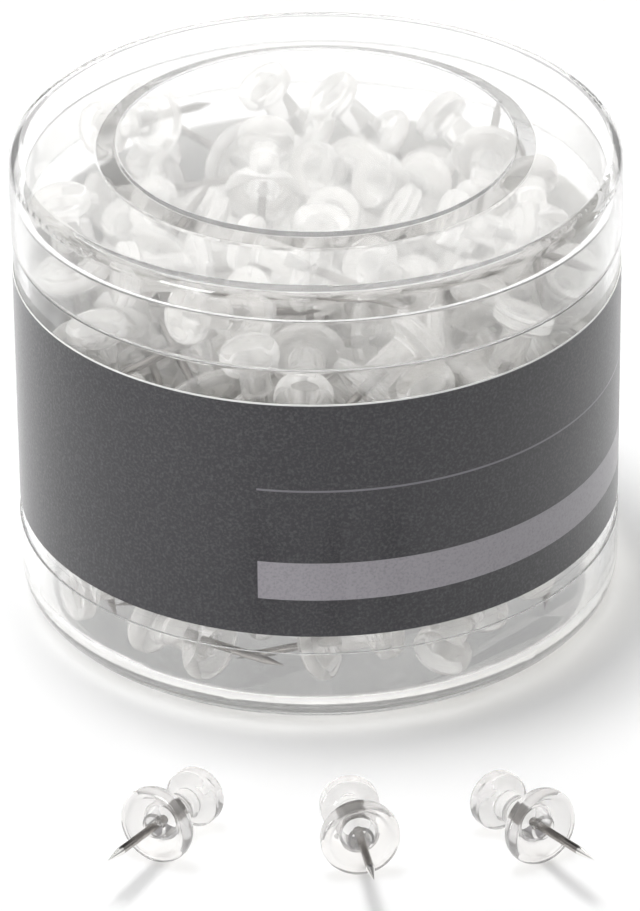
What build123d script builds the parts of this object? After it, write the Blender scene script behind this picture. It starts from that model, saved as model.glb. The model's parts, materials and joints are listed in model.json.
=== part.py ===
from build123d import *
import math
import os

import numpy as np

# Push pins in a lidded tub: a clear round tub with a lift-off lid and a printed label band, filled with
# clear push pins, and three push pins lying loose in front of it.
# Millimetres, +Z up, origin at the middle of the tub's foot. The front is towards -Y.

# Label band
LABEL_HEIGHT = 35.3
LABEL_THICKNESS = 0.12
LABEL_GLUE = 0.05
LABEL_SEAM = 1.5
LABEL_MARGIN = 2.7

# Tub
TUB_DIAMETER = 82.5
BASE_BAND_HEIGHT = 11.4
BASE_BAND_STEP = 0.25
SHOULDER_MARGIN = 4.8
NECK_HEIGHT = 7.0
NECK_WALL = 0.95
FLOOR_THICKNESS = 1.8
BASE_CORNER = 4.0
INNER_CORNER = 3.0
EDGE_ROUND = 0.3

# Lid
LID_WALL = 1.0
LID_CLEARANCE = 0.2
LID_SEAT_GAP = 0.1
LID_HEADROOM = 3.8
LID_TOP_THICKNESS = 1.2
LID_RIM_ROUND = 1.8
LID_INNER_ROUND = 1.0
CENTRE_DIAMETER = 53.6
CENTRE_SLOPE = 2.7
CENTRE_RISE = 1.0
CENTRE_ROUND = 0.6

# Push pin, in its own frame: underside of the collar at zero, knob up, needle down
HEAD_LENGTH = 12.6
COLLAR_DIAMETER = 10.4
COLLAR_THICKNESS = 2.1
COLLAR_CONE = 0.7
COLLAR_LAND = 0.1
DISH_DEPTH = 0.35
BOSS_WALL = 0.85
WAIST_DIAMETER = 4.4
WAIST_ROUND = 0.9
NECK_DIAMETER = 3.9
KNOB_DIAMETER = 7.8
KNOB_THICKNESS = 2.7
KNOB_FLARE = 0.9
KNOB_CROWN = 0.6
NEEDLE_DIAMETER = 1.1
NEEDLE_EXPOSED = 11.5
NEEDLE_POINT = 3.2
NEEDLE_SEATED = 4.5
ROOT_SWELL = 0.08

# Loose pins on the floor: name, how far right of the tub's middle and in front of the tub its collar lies,
# and the way its needle points, in degrees from straight ahead towards the right
LOOSE_PINS = [
    ("left", -21.8, 32.0, -29.6),
    ("middle", 5.0, 35.6, 7.7),
    ("right", 28.6, 33.2, 32.1),
]

# Heap of pins in the tub, and how they are settled
LAYERS = 10
PIN_GAP = 0.04
WALL_GAP = 0.25
VOXEL = 0.25
SAMPLE_STEP = 0.9
QUICK_SAMPLES = 60
HEAP_HEADROOM = 1.2
FILL_ROUNDS = 3
PINS_A_ROUND = 110
SPOT_TRIES = 400
LAST_PINS = 60
LAST_DEPTH = 19.0
LAST_TRIES = 2500
SHAKES = 500
SHAKE_SIDE = 0.9
SHAKE_DOWN = 1.1
SHAKE_UP = 0.3
SHAKE_TURN = 0.12
FALL_STEP = 0.1
HEAP_SEED = 8

# Worked out from the sizes above
LABEL_BOTTOM = BASE_BAND_HEIGHT + LABEL_MARGIN
SHOULDER_HEIGHT = LABEL_BOTTOM + LABEL_HEIGHT + SHOULDER_MARGIN
BASE_RADIUS = TUB_DIAMETER / 2
WALL_RADIUS = BASE_RADIUS - BASE_BAND_STEP
LID_INNER_RADIUS = BASE_RADIUS - LID_WALL
NECK_RADIUS = LID_INNER_RADIUS - LID_CLEARANCE
INNER_RADIUS = NECK_RADIUS - NECK_WALL
TUB_RIM = SHOULDER_HEIGHT + NECK_HEIGHT
LID_BOTTOM = SHOULDER_HEIGHT + LID_SEAT_GAP
LID_UNDERSIDE = TUB_RIM + LID_HEADROOM
HEAP_TOP = LID_UNDERSIDE - HEAP_HEADROOM
LID_TOP = LID_UNDERSIDE + LID_TOP_THICKNESS
CENTRE_TOP_RADIUS = CENTRE_DIAMETER / 2
CENTRE_FOOT_RADIUS = CENTRE_TOP_RADIUS + CENTRE_SLOPE
NEEDLE_RADIUS = NEEDLE_DIAMETER / 2
ROOT_RADIUS = NEEDLE_RADIUS + ROOT_SWELL
COLLAR_RADIUS = COLLAR_DIAMETER / 2
COLLAR_ROUND = 0.45 * COLLAR_THICKNESS
RIM_RADIUS = COLLAR_RADIUS - COLLAR_ROUND
RIM_HEIGHT = COLLAR_THICKNESS - COLLAR_ROUND
WAIST_RADIUS = WAIST_DIAMETER / 2
KNOB_RADIUS = KNOB_DIAMETER / 2
KNOB_ROUND = 0.4 * (KNOB_THICKNESS - KNOB_CROWN)
KNOB_BOTTOM = HEAD_LENGTH - KNOB_THICKNESS


def turned(points):
    """Solid of revolution about Z from (radius, height, corner rounding) points."""
    corners = [(radius, height) for radius, height, _ in points]
    rounding = [corner for _, _, corner in points]
    with BuildPart() as solid:
        with BuildSketch(Plane.XZ):
            with BuildLine():
                FilletPolyline(*corners, radius=rounding, close=True)
            make_face()
        revolve(axis=Axis.Z)
    return solid.part.solid()


def tub():
    return turned([
        (0, 0, 0),
        (BASE_RADIUS, 0, BASE_CORNER),
        (BASE_RADIUS, BASE_BAND_HEIGHT, BASE_BAND_STEP / 2),
        (WALL_RADIUS, BASE_BAND_HEIGHT, 0),
        (WALL_RADIUS, SHOULDER_HEIGHT, EDGE_ROUND),
        (NECK_RADIUS, SHOULDER_HEIGHT, 0),
        (NECK_RADIUS, TUB_RIM, EDGE_ROUND),
        (INNER_RADIUS, TUB_RIM, EDGE_ROUND),
        (INNER_RADIUS, FLOOR_THICKNESS, INNER_CORNER),
        (0, FLOOR_THICKNESS, 0),
    ])


def lid():
    return turned([
        (BASE_RADIUS, LID_BOTTOM, EDGE_ROUND),
        (BASE_RADIUS, LID_TOP, LID_RIM_ROUND),
        (CENTRE_FOOT_RADIUS, LID_TOP, CENTRE_ROUND),
        (CENTRE_TOP_RADIUS, LID_TOP + CENTRE_RISE, CENTRE_ROUND),
        (0, LID_TOP + CENTRE_RISE, 0),
        (0, LID_UNDERSIDE + CENTRE_RISE, 0),
        (CENTRE_TOP_RADIUS, LID_UNDERSIDE + CENTRE_RISE, CENTRE_ROUND),
        (CENTRE_FOOT_RADIUS, LID_UNDERSIDE, CENTRE_ROUND),
        (LID_INNER_RADIUS, LID_UNDERSIDE, LID_INNER_ROUND),
        (LID_INNER_RADIUS, LID_BOTTOM, EDGE_ROUND),
    ])


def label_band():
    """Thin band round the tub, open at a narrow seam at the back."""
    glued_radius = WALL_RADIUS + LABEL_GLUE
    with BuildPart() as band:
        with BuildSketch(Plane.XY.offset(LABEL_BOTTOM)):
            Circle(glued_radius + LABEL_THICKNESS)
            Circle(glued_radius, mode=Mode.SUBTRACT)
            with Locations((0, glued_radius)):
                Rectangle(LABEL_SEAM, glued_radius, mode=Mode.SUBTRACT)
        extrude(amount=LABEL_HEIGHT)
    return band.part.solid()


def pin_head():
    """Clear moulded head: dished collar, waist and knob, with a bore for the needle's root."""
    boss_radius = NEEDLE_RADIUS + BOSS_WALL
    dish_radius = RIM_RADIUS - COLLAR_LAND
    return turned([
        (NEEDLE_RADIUS, 0, 0),
        (boss_radius, 0, 0),
        (boss_radius + DISH_DEPTH, DISH_DEPTH, 0),
        (dish_radius - DISH_DEPTH, DISH_DEPTH, DISH_DEPTH / 2),
        (dish_radius, 0, 0),
        (COLLAR_RADIUS, 0, COLLAR_ROUND),
        (COLLAR_RADIUS, COLLAR_THICKNESS, COLLAR_ROUND),
        (dish_radius, COLLAR_THICKNESS, 0),
        (WAIST_RADIUS, COLLAR_THICKNESS + COLLAR_CONE, WAIST_ROUND),
        (NECK_DIAMETER / 2, KNOB_BOTTOM - KNOB_FLARE, WAIST_ROUND),
        (KNOB_RADIUS, KNOB_BOTTOM, KNOB_ROUND / 2),
        (KNOB_RADIUS, HEAD_LENGTH - KNOB_CROWN, KNOB_ROUND),
        (0, HEAD_LENGTH, 0),
        (0, NEEDLE_SEATED, 0),
        (ROOT_RADIUS, NEEDLE_SEATED, 0),
    ])


def pin_needle():
    """Steel needle: a straight shank ground to a point, and a root that widens to hold in the head."""
    return turned([
        (0, -NEEDLE_EXPOSED, 0),
        (NEEDLE_RADIUS, NEEDLE_POINT - NEEDLE_EXPOSED, NEEDLE_POINT),
        (NEEDLE_RADIUS, 0, 0),
        (ROOT_RADIUS, NEEDLE_SEATED, 0),
        (0, NEEDLE_SEATED, 0),
    ])


def resting_tilt():
    """How far a loose pin's knob end dips when its collar's rim and its knob's edge touch the floor."""
    crown_slope = math.atan2(KNOB_CROWN, KNOB_RADIUS)
    edge_radius = KNOB_RADIUS - KNOB_ROUND
    crown_drop = edge_radius * math.tan(crown_slope) + KNOB_ROUND / math.cos(crown_slope)
    apart = HEAD_LENGTH - crown_drop - RIM_HEIGHT
    narrower = RIM_RADIUS - edge_radius
    to_knob = math.atan2(narrower, apart)
    past_knob = math.asin((COLLAR_ROUND - KNOB_ROUND) / math.hypot(narrower, apart))
    return to_knob + past_knob


def loose_pin_place(right, ahead, heading):
    """Where a loose pin lies on the floor, with its needle pointing along the heading."""
    tilt = resting_tilt()
    turn = math.radians(heading)
    along = math.cos(tilt)
    knob_way = (-along * math.sin(turn), along * math.cos(turn), -math.sin(tilt))
    height = RIM_RADIUS * along + RIM_HEIGHT * math.sin(tilt) + COLLAR_ROUND
    return Plane(origin=(right, -BASE_RADIUS - ahead, height), z_dir=knob_way).location


def pin_bands():
    """The pin as stacked cylinders along its axis: (bottom, top, radius) of each."""
    rim_step = COLLAR_ROUND / 3
    rim_cut = COLLAR_ROUND - math.sqrt(COLLAR_ROUND**2 - (COLLAR_ROUND - rim_step) ** 2)
    crown_start = HEAD_LENGTH - KNOB_CROWN
    return [
        (-NEEDLE_EXPOSED, 0, NEEDLE_RADIUS),
        (0, rim_step, COLLAR_RADIUS - rim_cut),
        (rim_step, COLLAR_THICKNESS - rim_step, COLLAR_RADIUS),
        (COLLAR_THICKNESS - rim_step, COLLAR_THICKNESS, COLLAR_RADIUS - rim_cut),
        (COLLAR_THICKNESS, COLLAR_THICKNESS + COLLAR_CONE, (COLLAR_RADIUS + WAIST_RADIUS) / 2),
        (COLLAR_THICKNESS + COLLAR_CONE, KNOB_BOTTOM - KNOB_FLARE / 2, WAIST_RADIUS),
        (KNOB_BOTTOM - KNOB_FLARE / 2, crown_start, KNOB_RADIUS),
        (crown_start, HEAD_LENGTH, KNOB_RADIUS - KNOB_ROUND / 2),
    ]


def head_top(spot, axis):
    """Height of the highest point of a pin's head."""
    level = math.sqrt(max(1 - axis[2] ** 2, 0))
    rings = [(0, COLLAR_RADIUS), (COLLAR_THICKNESS, COLLAR_RADIUS), (HEAD_LENGTH, KNOB_RADIUS)]
    return spot[2] + max(axis[2] * height + level * radius for height, radius in rings)


def ring_points(height, radius):
    """Points about a sample step apart on a level ring round the pin's axis."""
    count = max(4, math.ceil(2 * math.pi * radius / SAMPLE_STEP))
    angles = np.arange(count) * 2 * math.pi / count
    heights = np.full(count, height)
    return np.column_stack([radius * np.cos(angles), radius * np.sin(angles), heights])


def pin_samples(chance):
    """Points all over the pin's surface, in a shuffled order."""
    rings = []
    for bottom, top, radius in pin_bands():
        for height in np.linspace(bottom, top, math.ceil((top - bottom) / SAMPLE_STEP) + 1):
            rings.append(ring_points(height, radius))
        for inner in np.arange(NEEDLE_DIAMETER, radius, SAMPLE_STEP):
            rings.append(ring_points(bottom, inner))
            rings.append(ring_points(top, inner))
    return chance.permutation(np.vstack(rings))


class TubSpace:
    """The space in the tub as a grid of voxels, each counting what has taken it."""

    def __init__(self):
        margin = HEAD_LENGTH + SHAKE_SIDE + SHAKE_DOWN
        side = INNER_RADIUS + margin
        self.low = np.array([-side, -side, FLOOR_THICKNESS - margin])
        high = np.array([side, side, LID_UNDERSIDE + margin])
        counts = np.ceil((high - self.low) / VOXEL).astype(int)
        self.x, self.y, self.z = [
            low + VOXEL * (np.arange(count) + 0.5) for low, count in zip(self.low, counts)
        ]
        above_floor = np.maximum(self.z - FLOOR_THICKNESS, 0)
        into_corner = np.maximum(INNER_CORNER - above_floor, 0)
        drawn_in = INNER_CORNER - np.sqrt(INNER_CORNER**2 - into_corner**2)
        open_height = (above_floor > WALL_GAP) & (self.z < LID_UNDERSIDE - WALL_GAP)
        clear_radius = np.where(open_height, INNER_RADIUS - WALL_GAP - drawn_in, 0)
        from_axis = np.hypot(self.x[:, None], self.y[None, :])
        self.taken = (from_axis[:, :, None] >= clear_radius[None, None, :]).astype(np.int8)

    def is_free(self, points):
        cells = ((points - self.low) / VOXEL).astype(int)
        return not self.taken[cells[:, 0], cells[:, 1], cells[:, 2]].any()

    def fits(self, samples, turn, spot):
        """Whether a pin is clear of all others there, with its head below the top of the heap."""
        if head_top(spot, turn[:, 2]) > HEAP_TOP:
            return False
        quick = samples[:QUICK_SAMPLES] @ turn.T + spot
        return self.is_free(quick) and self.is_free(samples[QUICK_SAMPLES:] @ turn.T + spot)

    def count_band(self, spot, axis, bottom, top, radius, step):
        """Add a step to the count of the voxels in one cylinder of a pin."""
        ends = np.array([spot + axis * bottom, spot + axis * top])
        reach = radius * np.sqrt(np.maximum(1 - axis**2, 0))
        first = ((ends.min(axis=0) - reach - self.low) / VOXEL).astype(int)
        last = ((ends.max(axis=0) + reach - self.low) / VOXEL).astype(int) + 1
        box = tuple(slice(start, stop) for start, stop in zip(first, last))
        dx = self.x[box[0]][:, None, None] - spot[0]
        dy = self.y[box[1]][None, :, None] - spot[1]
        dz = self.z[box[2]][None, None, :] - spot[2]
        along = dx * axis[0] + dy * axis[1] + dz * axis[2]
        across = dx**2 + dy**2 + dz**2 - along**2
        inside = (along >= bottom) & (along <= top) & (across <= radius**2)
        self.taken[box] += inside.astype(np.int8) * np.int8(step)

    def count_pin(self, turn, spot, step):
        """Take the room of a settled pin and a little round it with step 1, or give it back with -1."""
        margin = VOXEL * math.sqrt(3) / 2 + PIN_GAP
        for bottom, top, radius in pin_bands():
            self.count_band(spot, turn[:, 2], bottom - margin, top + margin, radius + margin, step)


def turn_by(vector):
    """Rotation matrix for a turn about the vector by its length in radians."""
    angle = np.linalg.norm(vector)
    x, y, z = vector / angle
    cross = np.array([[0, -z, y], [z, 0, -x], [-y, x, 0]])
    return np.eye(3) + math.sin(angle) * cross + (1 - math.cos(angle)) * cross @ cross


def free_spot(space, samples, chance, lowest, tries):
    """The lowest of many random places where a pin fits: its turn and its spot, or None."""
    found = None
    highest = HEAP_TOP
    for _ in range(tries):
        turn = turn_by(chance.normal(0, math.pi, 3))
        out = INNER_RADIUS * math.sqrt(chance.uniform())
        way = chance.uniform(0, 2 * math.pi)
        height = chance.uniform(lowest, highest)
        spot = np.array([out * math.cos(way), out * math.sin(way), height])
        if space.fits(samples, turn, spot):
            found = turn, spot
            highest = height
    return found


def shake_down(space, samples, chance, turn, spot):
    """Let a pin sink by random moves, large and small, and then straight down until something stops it."""
    least = np.array([-SHAKE_SIDE, -SHAKE_SIDE, -SHAKE_DOWN])
    most = np.array([SHAKE_SIDE, SHAKE_SIDE, SHAKE_UP])
    for _ in range(SHAKES):
        size = chance.uniform()
        new_turn = turn_by(size * chance.normal(0, SHAKE_TURN, 3)) @ turn
        new_spot = spot + size * chance.uniform(least, most)
        if space.fits(samples, new_turn, new_spot):
            turn = new_turn
            spot = new_spot
    fall = np.array([0, 0, FALL_STEP])
    while space.fits(samples, turn, spot - fall):
        spot = spot - fall
    return turn, spot


def settle(space, samples, chance, turn, spot):
    """Shake a pin down and take its room."""
    turn, spot = shake_down(space, samples, chance, turn, spot)
    space.count_pin(turn, spot, 1)
    return turn, spot


def add_pins(pins, space, samples, chance, count, lowest, tries):
    """Settle up to a count of new pins, each in a free spot above the lowest height."""
    for _ in range(count):
        found = free_spot(space, samples, chance, lowest, tries)
        if found is not None:
            pins.append(settle(space, samples, chance, *found))


def heap_places():
    """Places of the pins heaped in the tub, from the floor up."""
    chance = np.random.default_rng(HEAP_SEED)
    samples = pin_samples(chance)
    space = TubSpace()
    pins = []
    for _ in range(FILL_ROUNDS):
        add_pins(pins, space, samples, chance, PINS_A_ROUND, FLOOR_THICKNESS, SPOT_TRIES)
        pins.sort(key=lambda pin: pin[1][2])
        for number, (turn, spot) in enumerate(pins):
            space.count_pin(turn, spot, -1)
            pins[number] = settle(space, samples, chance, turn, spot)
    add_pins(pins, space, samples, chance, LAST_PINS, HEAP_TOP - LAST_DEPTH, LAST_TRIES)
    pins.sort(key=lambda pin: pin[1][2])
    print("pins in the tub:", len(pins))
    return [Plane(origin=spot.tolist(), z_dir=turn[:, 2].tolist()).location for turn, spot in pins]


def write_part(name, solids):
    shape = solids[0] if len(solids) == 1 else Compound(solids)
    export_step(shape, os.path.join("parts", name + ".step"))


def main():
    os.makedirs("parts", exist_ok=True)
    write_part("tub", [tub()])
    write_part("lid", [lid()])
    write_part("label_band", [label_band()])
    head = pin_head()
    needle = pin_needle()
    for side, right, ahead, heading in LOOSE_PINS:
        place = loose_pin_place(right, ahead, heading)
        write_part(f"loose_pin_{side}_head", [head.moved(place)])
        write_part(f"loose_pin_{side}_needle", [needle.moved(place)])
    places = heap_places()
    for layer in range(LAYERS):
        first = layer * len(places) // LAYERS
        last = (layer + 1) * len(places) // LAYERS
        layer_places = places[first:last]
        write_part(f"heap_heads_{layer + 1:02d}", [head.moved(place) for place in layer_places])
        write_part(f"heap_needles_{layer + 1:02d}", [needle.moved(place) for place in layer_places])


main()
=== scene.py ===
"""Dresses the push pins in their lidded tub: clear plastic, steel, printed label, floor, light, camera.

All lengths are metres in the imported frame: +X right, +Y away from the viewer, +Z up.
"""

import json
import math

import bpy
from mathutils import Matrix, Vector

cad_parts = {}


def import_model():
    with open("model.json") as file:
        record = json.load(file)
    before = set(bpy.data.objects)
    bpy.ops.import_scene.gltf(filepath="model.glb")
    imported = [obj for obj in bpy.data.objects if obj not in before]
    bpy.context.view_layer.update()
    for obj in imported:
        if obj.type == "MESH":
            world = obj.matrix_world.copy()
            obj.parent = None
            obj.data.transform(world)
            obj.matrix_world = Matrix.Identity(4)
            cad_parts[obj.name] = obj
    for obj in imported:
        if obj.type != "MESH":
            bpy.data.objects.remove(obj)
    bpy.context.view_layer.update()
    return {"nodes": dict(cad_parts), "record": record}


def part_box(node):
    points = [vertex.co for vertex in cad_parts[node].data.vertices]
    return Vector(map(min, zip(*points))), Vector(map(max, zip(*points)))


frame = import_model()

MM_PER_METRE = 1000
WHITE = (1.0, 1.0, 1.0, 1.0)

# Photograph: its height in pixels, and the camera that lines the tub up with it
IMAGE_HEIGHT = 911
FOCAL_PIXELS = 6601.9
SENSOR_SIDE = 36.0
CAMERA_REACH = 0.900
CAMERA_RISE = math.radians(29.233)
CAMERA_AIM_HEIGHT = 0.0339
CAMERA_PITCH = math.radians(30.11)
CAMERA_YAW = math.radians(0.013)
CAMERA_ROLL = math.radians(-0.53)
CAMERA_NEAREST = 0.01
CAMERA_FARTHEST = 20.0

# Floor: its white, and the light it adds for rays that see the background, near the tub and far from it
FLOOR_SIDE = 6.0
FLOOR_WHITE = 0.86
FLOOR_LIFT = 0.10
FAR_LIFT = 0.80
FAR_FROM = 0.20
FAR_TO = 1.30

# World: ambient light, the light on what lies behind clear plastic, and the greyer sides that gloss mirrors
AMBIENT = 0.30
INSIDE_LIGHT = 3.4
INSIDE_SURFACES = 3
SIDES_GREY = 0.22
SIDES_FROM = 0.10
SIDES_TO = 0.85
TUB_MIDDLE = Vector((0.0, 0.0, 0.034))

# Light paths: bounces in glass and gloss, and clear surfaces that a lamp's light may cross
LIGHT_BOUNCES = 32
LAMP_BOUNCES = 96

# Clear plastic of the tub and lid: tints, clearness and roughness, mould waves and handling scuffs
POLYSTYRENE_IOR = 1.57
TUB_LAMP_SHARE = (0.97, 0.97, 0.965, 1.0)
TUB_TINT = (0.984, 0.984, 0.982, 1.0)
TUB_CLEARNESS = 1.0
LID_TINT = (0.962, 0.960, 0.955, 1.0)
LID_CLEARNESS = 0.965
TUB_ROUGHNESS = (0.0, 0.075)
SCUFFS_PER_METRE = 900.0
SCUFF_DEPTH = 0.00001
WAVES_PER_METRE = 55.0
WAVE_DEPTH = 0.0003

# Clear plastic of the pin heads, in the heap and loose: haze and sink marks; the loose heads are the same
# plastic, tinted darker as painted shade for their grey edges
HEAD_IOR = 1.49
HEAD_LAMP_SHARE = (0.90, 0.895, 0.885, 1.0)
HEAP_TINT = (0.848, 0.840, 0.830, 1.0)
HEAP_CLEARNESS = 0.83
HEAP_ROUGHNESS = (0.01, 0.10)
# Painted shade: the loose heads' tint is darker than the heap's, to give them grey edges
LOOSE_SHADED_TINT = (0.795, 0.787, 0.780, 1.0)
LOOSE_CLEARNESS = 0.90
LOOSE_ROUGHNESS = (0.01, 0.06)
HAZE_PER_METRE = 700.0
SINKS_PER_METRE = 260.0
SINK_DEPTH = 0.0004

# Steel of the needles: darker and lighter patches, the ground point, and drawing marks
STEEL_DARK = (0.26, 0.238, 0.22, 1.0)
STEEL_LIGHT = (0.54, 0.52, 0.50, 1.0)
STEEL_GROUND = (0.90, 0.89, 0.87, 1.0)
STEEL_ROUGHNESS = (0.08, 0.28)
PATCHES_PER_METRE = 420.0
MARKS_PER_METRE = 4200.0
MARK_DEPTH = 0.00002
LOOSE_SIDES = ("left", "middle", "right")

# Label print, by height above the floor and by angle from the front, right positive
LABEL_CHARCOAL = (0.009, 0.008, 0.013, 1.0)
LABEL_GREY = (0.310, 0.293, 0.322, 1.0)
LABEL_LINE_GREY = (0.165, 0.158, 0.180, 1.0)
LABEL_SPECKLE = (0.12, 0.12, 0.125, 1.0)
LABEL_PAPER = (0.80, 0.80, 0.79, 1.0)
LABEL_WHITE_EDGE = 0.00022
PRINT_SKIN = 0.00006
BAR_LOW = 0.0197
BAR_HIGH = 0.0254
LINE_LOW = 0.0362
LINE_HIGH = 0.0365
PRINT_FROM = math.radians(-11.5)
PRINT_TO = math.radians(104.0)

# Label surface: how much the speckle shows, paper fibres, and a satin coat
SPECKLE_SHOWS = (-0.65, 0.80)
SPECKLES_PER_METRE = 2600.0
FIBRES_PER_METRE = 3000.0
FIBRE_DEPTH = 0.00004
LABEL_ROUGHNESS = (0.30, 0.48)
LABEL_COAT = 0.4
LABEL_COAT_ROUGHNESS = 0.15
LABEL_SHEEN = 0.20
LABEL_SHEEN_ROUGHNESS = 0.30


def new_material(name):
    """A new node material, its tree and its Principled shader."""
    material = bpy.data.materials.new(name)
    material.use_nodes = True
    shader = material.node_tree.nodes["Principled BSDF"]
    return material, material.node_tree, shader


def add_node(tree, kind, **settings):
    """A node of a kind; settings that name an input set it, the others set a property."""
    node = tree.nodes.new(kind)
    for key, value in settings.items():
        label = key.replace("_", " ")
        if label in node.inputs:
            node.inputs[label].default_value = value
        else:
            setattr(node, key, value)
    return node


def math_node(tree, operation, first, second=None):
    """A Math node on one or two values, each a socket or a number."""
    node = tree.nodes.new("ShaderNodeMath")
    node.operation = operation
    for slot, value in enumerate((first, second)):
        if value is None:
            continue
        if isinstance(value, (int, float)):
            node.inputs[slot].default_value = value
        else:
            tree.links.new(value, node.inputs[slot])
    return node.outputs[0]


def between(tree, value, low, high):
    """1 where a value lies between two limits, 0 elsewhere."""
    above = math_node(tree, "GREATER_THAN", value, low)
    below = math_node(tree, "LESS_THAN", value, high)
    return math_node(tree, "MULTIPLY", above, below)


def reaches(tree, count, least):
    """1 where a whole count has reached a least one, 0 elsewhere."""
    return math_node(tree, "GREATER_THAN", count, least - 0.5)


def noise(tree, place, scale, detail=2.0, roughness=0.5):
    """Noise over object coordinates; scale counts features per metre."""
    texture = add_node(tree, "ShaderNodeTexNoise", Scale=scale, Detail=detail, Roughness=roughness)
    tree.links.new(place, texture.inputs["Vector"])
    return texture.outputs["Fac"]


def spread(tree, value, low, high):
    """A 0 to 1 value stretched over a range."""
    node = add_node(tree, "ShaderNodeMapRange", To_Min=low, To_Max=high)
    tree.links.new(value, node.inputs["Value"])
    return node.outputs["Result"]


def smooth_step(tree, value, start, end, low, high):
    """A smooth rise from low to high, as a value goes from start to end."""
    node = add_node(tree, "ShaderNodeMapRange", interpolation_type="SMOOTHSTEP",
                    From_Min=start, From_Max=end, To_Min=low, To_Max=high)
    tree.links.new(value, node.inputs["Value"])
    return node.outputs["Result"]


def bump(tree, height, depth, strength, under=None):
    """A bump of a depth in metres, over another one if given."""
    node = add_node(tree, "ShaderNodeBump", Strength=strength, Distance=depth)
    tree.links.new(height, node.inputs["Height"])
    if under is not None:
        tree.links.new(under, node.inputs["Normal"])
    return node.outputs["Normal"]


def object_place(tree):
    """Object coordinates, which are the frame's own metres."""
    return tree.nodes.new("ShaderNodeTexCoord").outputs["Object"]


def mix_colour(tree, factor, first, second):
    """A mix of two colours, each a socket or a value."""
    node = tree.nodes.new("ShaderNodeMix")
    node.data_type = "RGBA"
    tree.links.new(factor, node.inputs["Factor"])
    for name, value in (("A", first), ("B", second)):
        socket = [s for s in node.inputs if s.name == name and s.type == "RGBA"][0]
        if isinstance(value, tuple):
            socket.default_value = value
        else:
            tree.links.new(value, socket)
    return [s for s in node.outputs if s.type == "RGBA"][0]


def let_lamps_through(tree, shader, share):
    """Lets a share of the lamps' light through each surface of a clear plastic."""
    output = tree.nodes["Material Output"]
    path = tree.nodes.new("ShaderNodeLightPath")
    clear = add_node(tree, "ShaderNodeBsdfTransparent", Color=share)
    mix = tree.nodes.new("ShaderNodeMixShader")
    tree.links.new(path.outputs["Is Shadow Ray"], mix.inputs["Fac"])
    tree.links.new(shader.outputs["BSDF"], mix.inputs[1])
    tree.links.new(clear.outputs["BSDF"], mix.inputs[2])
    tree.links.new(mix.outputs["Shader"], output.inputs["Surface"])


def clear_plastic(name, tint, clearness):
    """Clear moulded plastic: slow waves from the mould and fine handling scuffs."""
    material, tree, shader = new_material(name)
    place = object_place(tree)
    shader.inputs["Base Color"].default_value = tint
    shader.inputs["IOR"].default_value = POLYSTYRENE_IOR
    shader.inputs["Transmission Weight"].default_value = clearness
    scuffs = noise(tree, place, SCUFFS_PER_METRE, detail=5.0, roughness=0.65)
    tree.links.new(spread(tree, scuffs, *TUB_ROUGHNESS), shader.inputs["Roughness"])
    swell = noise(tree, place, WAVES_PER_METRE, detail=0.0)
    waves = bump(tree, swell, WAVE_DEPTH, strength=0.30)
    scuffed = bump(tree, scuffs, SCUFF_DEPTH, strength=0.3, under=waves)
    tree.links.new(scuffed, shader.inputs["Normal"])
    let_lamps_through(tree, shader, TUB_LAMP_SHARE)
    return material


def head_plastic(name, tint, clearness, roughness):
    """Clear moulded pin heads, a little milky, with soft sink marks."""
    material, tree, shader = new_material(name)
    place = object_place(tree)
    shader.inputs["Base Color"].default_value = tint
    shader.inputs["IOR"].default_value = HEAD_IOR
    shader.inputs["Transmission Weight"].default_value = clearness
    haze = noise(tree, place, HAZE_PER_METRE, detail=3.0)
    tree.links.new(spread(tree, haze, *roughness), shader.inputs["Roughness"])
    sinks = noise(tree, place, SINKS_PER_METRE, detail=1.0)
    tree.links.new(bump(tree, sinks, SINK_DEPTH, strength=0.30), shader.inputs["Normal"])
    let_lamps_through(tree, shader, HEAD_LAMP_SHARE)
    return material


def past_shank(tree, place, mount):
    """1 on a needle's ground point, past the straight shank that its mount measures."""
    from_middle = add_node(tree, "ShaderNodeVectorMath", operation="SUBTRACT")
    tree.links.new(place, from_middle.inputs[0])
    from_middle.inputs[1].default_value = mount["pos_m"]
    along = add_node(tree, "ShaderNodeVectorMath", operation="DOT_PRODUCT")
    tree.links.new(from_middle.outputs["Vector"], along.inputs[0])
    along.inputs[1].default_value = mount["axis"]
    half_shank = mount["dims"]["length_mm"] / MM_PER_METRE / 2
    return math_node(tree, "GREATER_THAN", along.outputs["Value"], half_shank)


def needle_steel(mount=None):
    """Drawn steel wire with drawing marks and darker patches, bright on the point that a mount gives."""
    material, tree, shader = new_material("needle_steel")
    place = object_place(tree)
    patches = noise(tree, place, PATCHES_PER_METRE, detail=3.0)
    colour = mix_colour(tree, patches, STEEL_DARK, STEEL_LIGHT)
    if mount is not None:
        colour = mix_colour(tree, past_shank(tree, place, mount), colour, STEEL_GROUND)
    tree.links.new(colour, shader.inputs["Base Color"])
    shader.inputs["Metallic"].default_value = 1.0
    marks = noise(tree, place, MARKS_PER_METRE, detail=4.0, roughness=0.6)
    tree.links.new(spread(tree, marks, *STEEL_ROUGHNESS), shader.inputs["Roughness"])
    tree.links.new(bump(tree, marks, MARK_DEPTH, strength=0.4), shader.inputs["Normal"])
    return material


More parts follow.
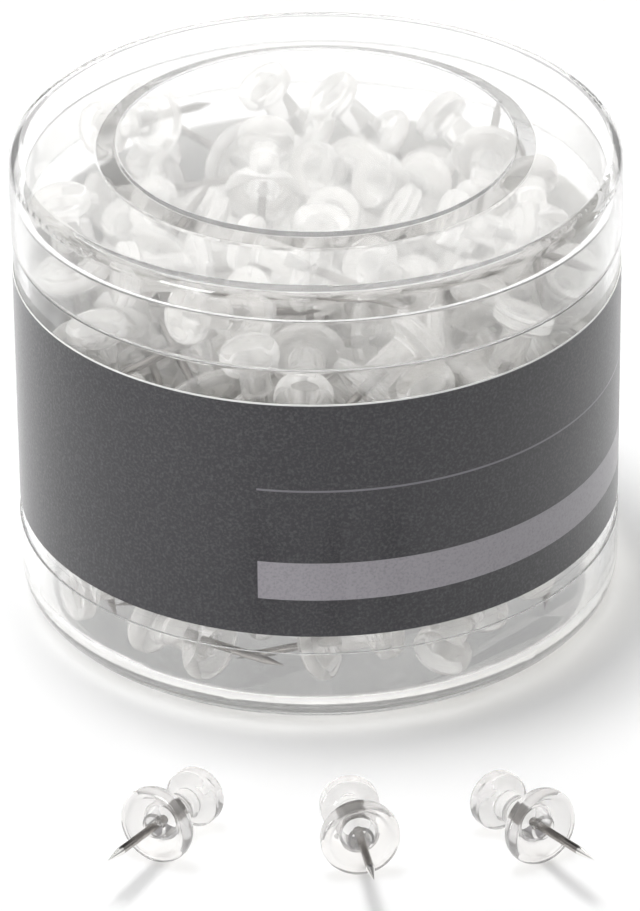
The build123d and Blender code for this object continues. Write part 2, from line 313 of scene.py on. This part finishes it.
def label_print():
    """Satin printed paper: charcoal with a grey bar and a thin line, white at its cut edge and inside."""
    material, tree, shader = new_material("printed_label")
    place = object_place(tree)
    axes = tree.nodes.new("ShaderNodeSeparateXYZ")
    tree.links.new(place, axes.inputs[0])
    x, y, z = axes.outputs
    to_viewer = math_node(tree, "MULTIPLY", y, -1.0)
    angle = math_node(tree, "ARCTAN2", x, to_viewer)
    along = between(tree, angle, PRINT_FROM, PRINT_TO)
    bar = math_node(tree, "MULTIPLY", along, between(tree, z, BAR_LOW, BAR_HIGH))
    line = math_node(tree, "MULTIPLY", along, between(tree, z, LINE_LOW, LINE_HIGH))
    low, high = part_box("label_band")
    radius = (high.x - low.x) / 2
    x_squared = math_node(tree, "MULTIPLY", x, x)
    y_squared = math_node(tree, "MULTIPLY", y, y)
    reach = math_node(tree, "SQRT", math_node(tree, "ADD", x_squared, y_squared))
    inside = math_node(tree, "LESS_THAN", reach, radius - PRINT_SKIN)
    rim = math_node(tree, "GREATER_THAN", z, high.z - LABEL_WHITE_EDGE)
    bare = math_node(tree, "MAXIMUM", inside, rim)
    grain = noise(tree, place, SPECKLES_PER_METRE, detail=2.0, roughness=0.6)
    ink = mix_colour(tree, bar, LABEL_CHARCOAL, LABEL_GREY)
    ink = mix_colour(tree, line, ink, LABEL_LINE_GREY)
    speckled = mix_colour(tree, spread(tree, grain, *SPECKLE_SHOWS), ink, LABEL_SPECKLE)
    tree.links.new(mix_colour(tree, bare, speckled, LABEL_PAPER), shader.inputs["Base Color"])
    fibres = noise(tree, place, FIBRES_PER_METRE, detail=4.0, roughness=0.6)
    tree.links.new(spread(tree, fibres, *LABEL_ROUGHNESS), shader.inputs["Roughness"])
    shader.inputs["Coat Weight"].default_value = LABEL_COAT
    shader.inputs["Coat Roughness"].default_value = LABEL_COAT_ROUGHNESS
    shader.inputs["Sheen Weight"].default_value = LABEL_SHEEN
    shader.inputs["Sheen Roughness"].default_value = LABEL_SHEEN_ROUGHNESS
    tree.links.new(bump(tree, fibres, FIBRE_DEPTH, strength=0.45), shader.inputs["Normal"])
    return material


def dress_nodes():
    """Gives each carried-over piece its material."""
    tub = clear_plastic("clear_polystyrene", TUB_TINT, TUB_CLEARNESS)
    lid = clear_plastic("hazy_lid_plastic", LID_TINT, LID_CLEARNESS)
    heap_heads = head_plastic("pin_plastic", HEAP_TINT, HEAP_CLEARNESS, HEAP_ROUGHNESS)
    # The loose heads' darker tint is painted shade, not a different plastic
    loose_heads = head_plastic("loose_pin_plastic_painted_shade", LOOSE_SHADED_TINT, LOOSE_CLEARNESS, LOOSE_ROUGHNESS)
    needles = needle_steel()
    label = label_print()
    mounts = {mount["name"]: mount for mount in frame["record"]["mounts"]}
    loose_needles = {}
    for side in LOOSE_SIDES:
        loose_needles[f"loose_pin_{side}_needle"] = needle_steel(mounts[f"needle_{side}"])
    for name, node in frame["nodes"].items():
        if name in loose_needles:
            material = loose_needles[name]
        elif "needle" in name:
            material = needles
        elif name.startswith("heap_heads"):
            material = heap_heads
        elif name.endswith("head"):
            material = loose_heads
        elif name == "label_band":
            material = label
        elif name == "lid":
            material = lid
        else:
            material = tub
        node.data.materials.clear()
        node.data.materials.append(material)


def background_rays(tree):
    """Two masks of the rays that see the white background: camera rays, and glossy or transmission rays."""
    path = tree.nodes.new("ShaderNodeLightPath")
    in_gloss = math_node(tree, "MAXIMUM", path.outputs["Is Glossy Ray"], path.outputs["Is Transmission Ray"])
    return path.outputs["Is Camera Ray"], in_gloss


def floor():
    """A white floor that keeps the shadows and stays white far from the lamps."""
    half = FLOOR_SIDE / 2
    mesh = bpy.data.meshes.new("floor")
    corners = [(-half, -half, 0.0), (half, -half, 0.0), (half, half, 0.0), (-half, half, 0.0)]
    mesh.from_pydata(corners, [], [(0, 1, 2, 3)])
    plane = bpy.data.objects.new("floor", mesh)
    bpy.context.scene.collection.objects.link(plane)
    material, tree, shader = new_material("floor_white")
    seen, in_gloss = background_rays(tree)
    shader.inputs["Base Color"].default_value = (FLOOR_WHITE, FLOOR_WHITE, FLOOR_WHITE, 1.0)
    shader.inputs["Roughness"].default_value = 1.0
    shader.inputs["Specular IOR Level"].default_value = 0.0
    shader.inputs["Emission Color"].default_value = WHITE
    reach = add_node(tree, "ShaderNodeVectorMath", operation="LENGTH")
    tree.links.new(object_place(tree), reach.inputs[0])
    far = smooth_step(tree, reach.outputs["Value"], FAR_FROM, FAR_TO, 0.0, FAR_LIFT)
    near_lift = math_node(tree, "MULTIPLY", math_node(tree, "MAXIMUM", seen, in_gloss), FLOOR_LIFT)
    far_lift = math_node(tree, "MULTIPLY", seen, far)
    tree.links.new(math_node(tree, "ADD", near_lift, far_lift), shader.inputs["Emission Strength"])
    mesh.materials.append(material)


def world():
    """White for the camera, a white top and greyer sides for gloss and glass, and ambient light for the rest.

    Light that a surface behind clear plastic gathers through that plastic is raised.
    """
    studio = bpy.data.worlds.new("studio")
    bpy.context.scene.world = studio
    studio.use_nodes = True
    tree = studio.node_tree
    background = tree.nodes["Background"]
    axes = tree.nodes.new("ShaderNodeSeparateXYZ")
    tree.links.new(tree.nodes.new("ShaderNodeTexCoord").outputs["Generated"], axes.inputs[0])
    tent = smooth_step(tree, axes.outputs["Z"], SIDES_FROM, SIDES_TO, SIDES_GREY, 1.0)
    seen, in_gloss = background_rays(tree)
    path = tree.nodes.new("ShaderNodeLightPath")
    scattered = reaches(tree, path.outputs["Diffuse Depth"], 1)
    from_inside = reaches(tree, path.outputs["Transmission Depth"], INSIDE_SURFACES)
    lights_inside = math_node(tree, "MULTIPLY", scattered, from_inside)
    lights_outside = math_node(tree, "SUBTRACT", 1.0, lights_inside)
    tent_light = math_node(tree, "MULTIPLY", tent, lights_outside)
    inside_light = math_node(tree, "MULTIPLY", lights_inside, INSIDE_LIGHT)
    gloss_light = math_node(tree, "MULTIPLY", in_gloss, math_node(tree, "ADD", tent_light, inside_light))
    others = math_node(tree, "SUBTRACT", 1.0, math_node(tree, "MAXIMUM", seen, in_gloss))
    background_light = math_node(tree, "MAXIMUM", seen, gloss_light)
    strength = math_node(tree, "ADD", background_light, math_node(tree, "MULTIPLY", others, AMBIENT))
    tree.links.new(strength, background.inputs["Strength"])
    background.inputs["Color"].default_value = WHITE


def softbox(name, place, side, power, in_gloss):
    """A square area lamp turned to the tub, mirrored in glossy surfaces or not."""
    lamp = bpy.data.lights.new(name, "AREA")
    lamp.size = side
    lamp.energy = power
    holder = bpy.data.objects.new(name, lamp)
    holder.location = place
    holder.rotation_euler = (TUB_MIDDLE - Vector(place)).to_track_quat("-Z", "Y").to_euler()
    holder.visible_camera = False
    holder.visible_transmission = False
    holder.visible_glossy = in_gloss
    bpy.context.scene.collection.objects.link(holder)


def lights():
    """A main lamp overhead, a broad one behind that veils the lid, and a low one that gleams on the label."""
    softbox("top", place=(-0.12, 0.07, 0.95), side=0.36, power=7.0, in_gloss=False)
    softbox("back", place=(0.0, 0.95, 0.60), side=0.60, power=2.2, in_gloss=True)
    softbox("left", place=(-0.62, -0.60, 0.12), side=0.30, power=2.8, in_gloss=True)


def camera():
    """The camera of the photograph, from its fitted place, tilt and focal length."""
    eye = Vector((0.0, -CAMERA_REACH * math.cos(CAMERA_RISE),
                  CAMERA_AIM_HEIGHT + CAMERA_REACH * math.sin(CAMERA_RISE)))
    ahead = Vector((math.sin(CAMERA_YAW) * math.cos(CAMERA_PITCH),
                    math.cos(CAMERA_YAW) * math.cos(CAMERA_PITCH),
                    -math.sin(CAMERA_PITCH)))
    level = Vector((math.cos(CAMERA_YAW), -math.sin(CAMERA_YAW), 0.0))
    upright = level.cross(ahead)
    right = math.cos(CAMERA_ROLL) * level + math.sin(CAMERA_ROLL) * upright
    up = math.cos(CAMERA_ROLL) * upright - math.sin(CAMERA_ROLL) * level
    data = bpy.data.cameras.new("camera")
    data.sensor_fit = "AUTO"
    data.sensor_width = SENSOR_SIDE
    data.lens = FOCAL_PIXELS / IMAGE_HEIGHT * SENSOR_SIDE
    data.clip_start = CAMERA_NEAREST
    data.clip_end = CAMERA_FARTHEST
    holder = bpy.data.objects.new("camera", data)
    holder.matrix_world = Matrix((right, up, -ahead)).transposed().to_4x4()
    holder.location = eye
    bpy.context.scene.collection.objects.link(holder)
    bpy.context.scene.camera = holder


def settings():
    """Plain view transform, and enough bounces for light to pass through the heap of clear pins."""
    scene = bpy.context.scene
    scene.view_settings.view_transform = "Standard"
    scene.cycles.max_bounces = LIGHT_BOUNCES
    scene.cycles.transmission_bounces = LIGHT_BOUNCES
    scene.cycles.glossy_bounces = LIGHT_BOUNCES
    scene.cycles.transparent_max_bounces = LAMP_BOUNCES


camera()
dress_nodes()
floor()
world()
lights()
settings()
